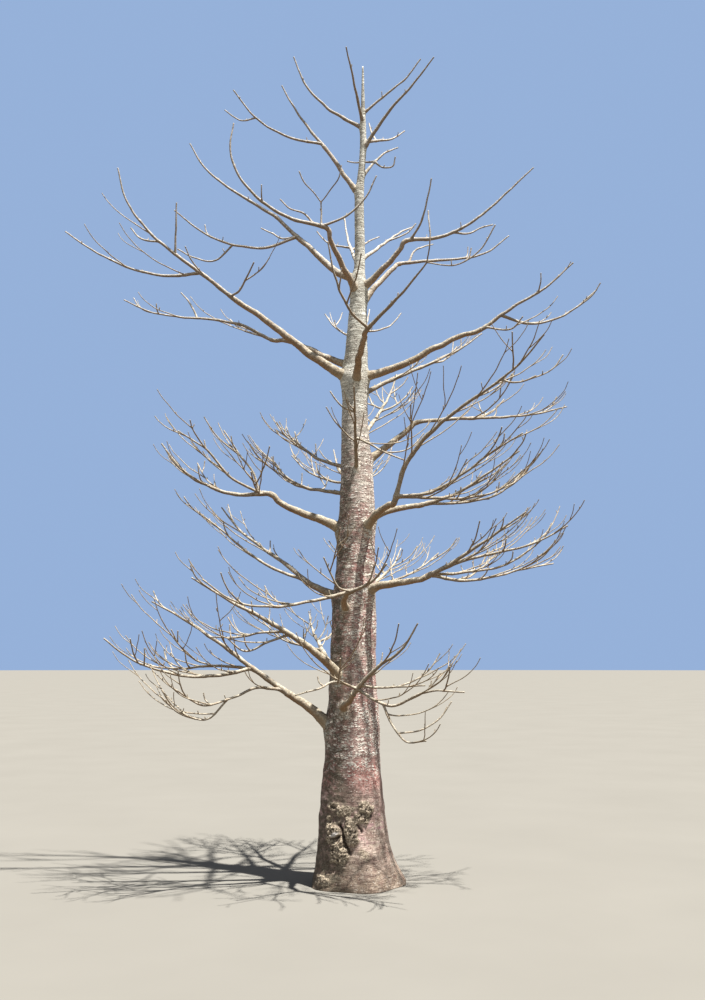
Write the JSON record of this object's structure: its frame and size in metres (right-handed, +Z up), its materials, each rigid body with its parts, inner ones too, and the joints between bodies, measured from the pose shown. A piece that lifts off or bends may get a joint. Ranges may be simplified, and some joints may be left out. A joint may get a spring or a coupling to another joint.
{
  "type": "bare young baobab tree",
  "caption": "Young baobab tree in its leafless season: thick tapering trunk with a flared foot and upturned bare boughs in tiers, for standing on ground level.",
  "frame": {"origin": "middle of the flat cut under the trunk, at ground level", "axes": "+Z up along the trunk, -Y towards the viewer of the picture, +X to that viewer's right"},
  "size_m": [4.2498, 2.9682, 6.59],
  "materials": {
    "bark": "rough purplish-brown to grey bark with pale flecks and fine rings",
    "twigs": "matt pale grey-tan twig bark"
  },
  "bodies": {
    "root": {"trunk": "bark", "bough_back": "bark", "bough_high_left": "bark", "bough_left": "bark", "bough_low_back": "bark", "bough_low_front": "bark", "bough_low_left": "bark", "bough_low_left_back": "bark", "bough_low_right": "bark", "bough_lowest_back": "bark", "bough_lowest_front": "bark", "bough_lowest_left": "bark", "bough_middle_back": "bark", "bough_middle_front": "bark", "bough_middle_left": "bark", "bough_middle_left_back": "bark", "bough_middle_right": "bark", "bough_right": "bark", "bough_right_back": "bark", "bough_right_front": "bark", "bough_upper_front_left": "bark", "bough_upper_left": "bark", "bough_upper_right": "bark", "bough_upper_right_back": "bark", "twigs_back": "twigs", "twigs_back_right": "twigs", "twigs_front": "twigs", "twigs_high_left": "twigs", "twigs_high_right": "twigs", "twigs_left": "twigs", "twigs_low_back": "twigs", "twigs_low_front": "twigs", "twigs_low_left": "twigs", "twigs_low_left_back": "twigs", "twigs_low_right": "twigs", "twigs_lowest_back": "twigs", "twigs_lowest_front": "twigs", "twigs_lowest_left": "twigs", "twigs_middle_back": "twigs", "twigs_middle_front": "twigs", "twigs_middle_left": "twigs", "twigs_middle_left_back": "twigs", "twigs_middle_right": "twigs", "twigs_middle_right_back": "twigs", "twigs_right": "twigs", "twigs_right_back": "twigs", "twigs_right_front": "twigs", "twigs_slim_back_right": "twigs", "twigs_slim_left_high": "twigs", "twigs_slim_left_low": "twigs", "twigs_top_back": "twigs", "twigs_top_fork": "twigs", "twigs_top_front": "twigs", "twigs_top_left": "twigs", "twigs_top_right": "twigs", "twigs_upper_back": "twigs", "twigs_upper_front_left": "twigs", "twigs_upper_left": "twigs", "twigs_upper_right": "twigs", "twigs_upper_right_back": "twigs"}
  },
  "joints": []
}
